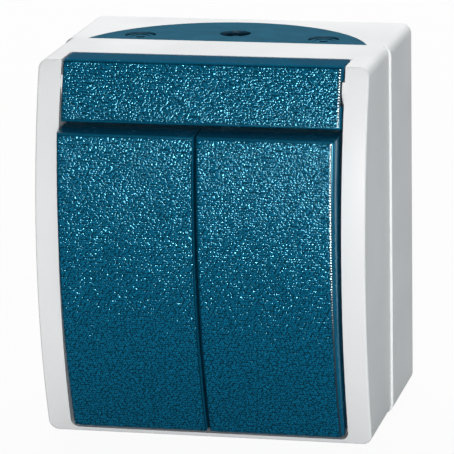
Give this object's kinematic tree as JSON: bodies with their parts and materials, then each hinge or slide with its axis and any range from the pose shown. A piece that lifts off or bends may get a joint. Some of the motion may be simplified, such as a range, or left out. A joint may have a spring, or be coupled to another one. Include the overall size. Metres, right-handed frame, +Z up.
{
  "type": "outdoor weatherproof switch",
  "caption": "Boxy surface-mounted weatherproof wall switch with arched side rails, tilting rockers, a cover flap for the fixing screws and a soft cable entry on top.",
  "frame": {"origin": "centre of the flat back face, in the plane of the wall", "axes": "+Z up the wall, -Y out of the wall towards the user, +X to the user's right"},
  "size_m": [0.073, 0.0598, 0.083],
  "materials": {
    "housing_white": "fine satin moulding",
    "control_blue": "pebble grained moulding",
    "seal_blue": "smooth soft plastic",
    "gasket_grey": "foam strip",
    "membrane_grey": "soft sheet",
    "insert_grey": "glass-filled moulding",
    "insert_white": "plain moulding",
    "plunger_natural": "smooth moulding",
    "contact_brass": "stamped and bent sheet",
    "steel": "zinc plated"
  },
  "bodies": {
    "housing": {"base_box": "housing_white", "cable_entry_seal": "seal_blue", "rim_gasket": "gasket_grey", "front_frame": "housing_white", "frame_screws": "steel", "splash_membrane": "membrane_grey", "insert_socket": "insert_grey", "bearing_bridge": "insert_white", "insert_screws": "steel", "line_terminal": "contact_brass", "output_terminal_left": "contact_brass", "output_terminal_right": "contact_brass", "terminal_screws": "steel"},
    "flap": {"cover_flap": "control_blue"},
    "left_rocker": {"rocker_left": "control_blue"},
    "left_cradle": {"cradle_left": "insert_white", "plunger_left": "plunger_natural", "plunger_spring_left": "steel"},
    "left_lever": {"contact_lever_left": "contact_brass"},
    "right_rocker": {"rocker_right": "control_blue"},
    "right_cradle": {"cradle_right": "insert_white", "plunger_right": "plunger_natural", "plunger_spring_right": "steel"},
    "right_lever": {"contact_lever_right": "contact_brass"}
  },
  "joints": [
    {"name": "flap_hinge", "type": "hinge", "parent": "housing", "child": "flap", "pos_m": [0, -0.04295, 0.0404], "axis": [-1, 0, 0], "range_deg": [0, 92]},
    {"name": "rocker_left_tilt", "type": "hinge", "parent": "housing", "child": "left_rocker", "pos_m": [-0.013, -0.05, -0.0068], "axis": [-1, 0, 0], "range_deg": [0, 8]},
    {"name": "cradle_left_tilt", "type": "hinge", "parent": "housing", "child": "left_cradle", "pos_m": [-0.013, -0.033, -0.0068], "axis": [-1, 0, 0], "range_deg": [0, 8]},
    {"name": "lever_left_tilt", "type": "hinge", "parent": "housing", "child": "left_lever", "pos_m": [-0.013, -0.015, -0.0068], "axis": [-1, 0, 0], "range_deg": [-12, 0]},
    {"name": "rocker_right_tilt", "type": "hinge", "parent": "housing", "child": "right_rocker", "pos_m": [0.013, -0.05, -0.0068], "axis": [-1, 0, 0], "range_deg": [0, 8]},
    {"name": "cradle_right_tilt", "type": "hinge", "parent": "housing", "child": "right_cradle", "pos_m": [0.013, -0.033, -0.0068], "axis": [-1, 0, 0], "range_deg": [0, 8]},
    {"name": "lever_right_tilt", "type": "hinge", "parent": "housing", "child": "right_lever", "pos_m": [0.013, -0.015, -0.0068], "axis": [-1, 0, 0], "range_deg": [-12, 0]}
  ],
  "couplings": [
    {"joint": "cradle_left_tilt", "follows": "rocker_left_tilt", "ratio": 1},
    {"joint": "lever_left_tilt", "follows": "rocker_left_tilt", "ratio": -1.5},
    {"joint": "cradle_right_tilt", "follows": "rocker_right_tilt", "ratio": 1},
    {"joint": "lever_right_tilt", "follows": "rocker_right_tilt", "ratio": -1.5}
  ]
}
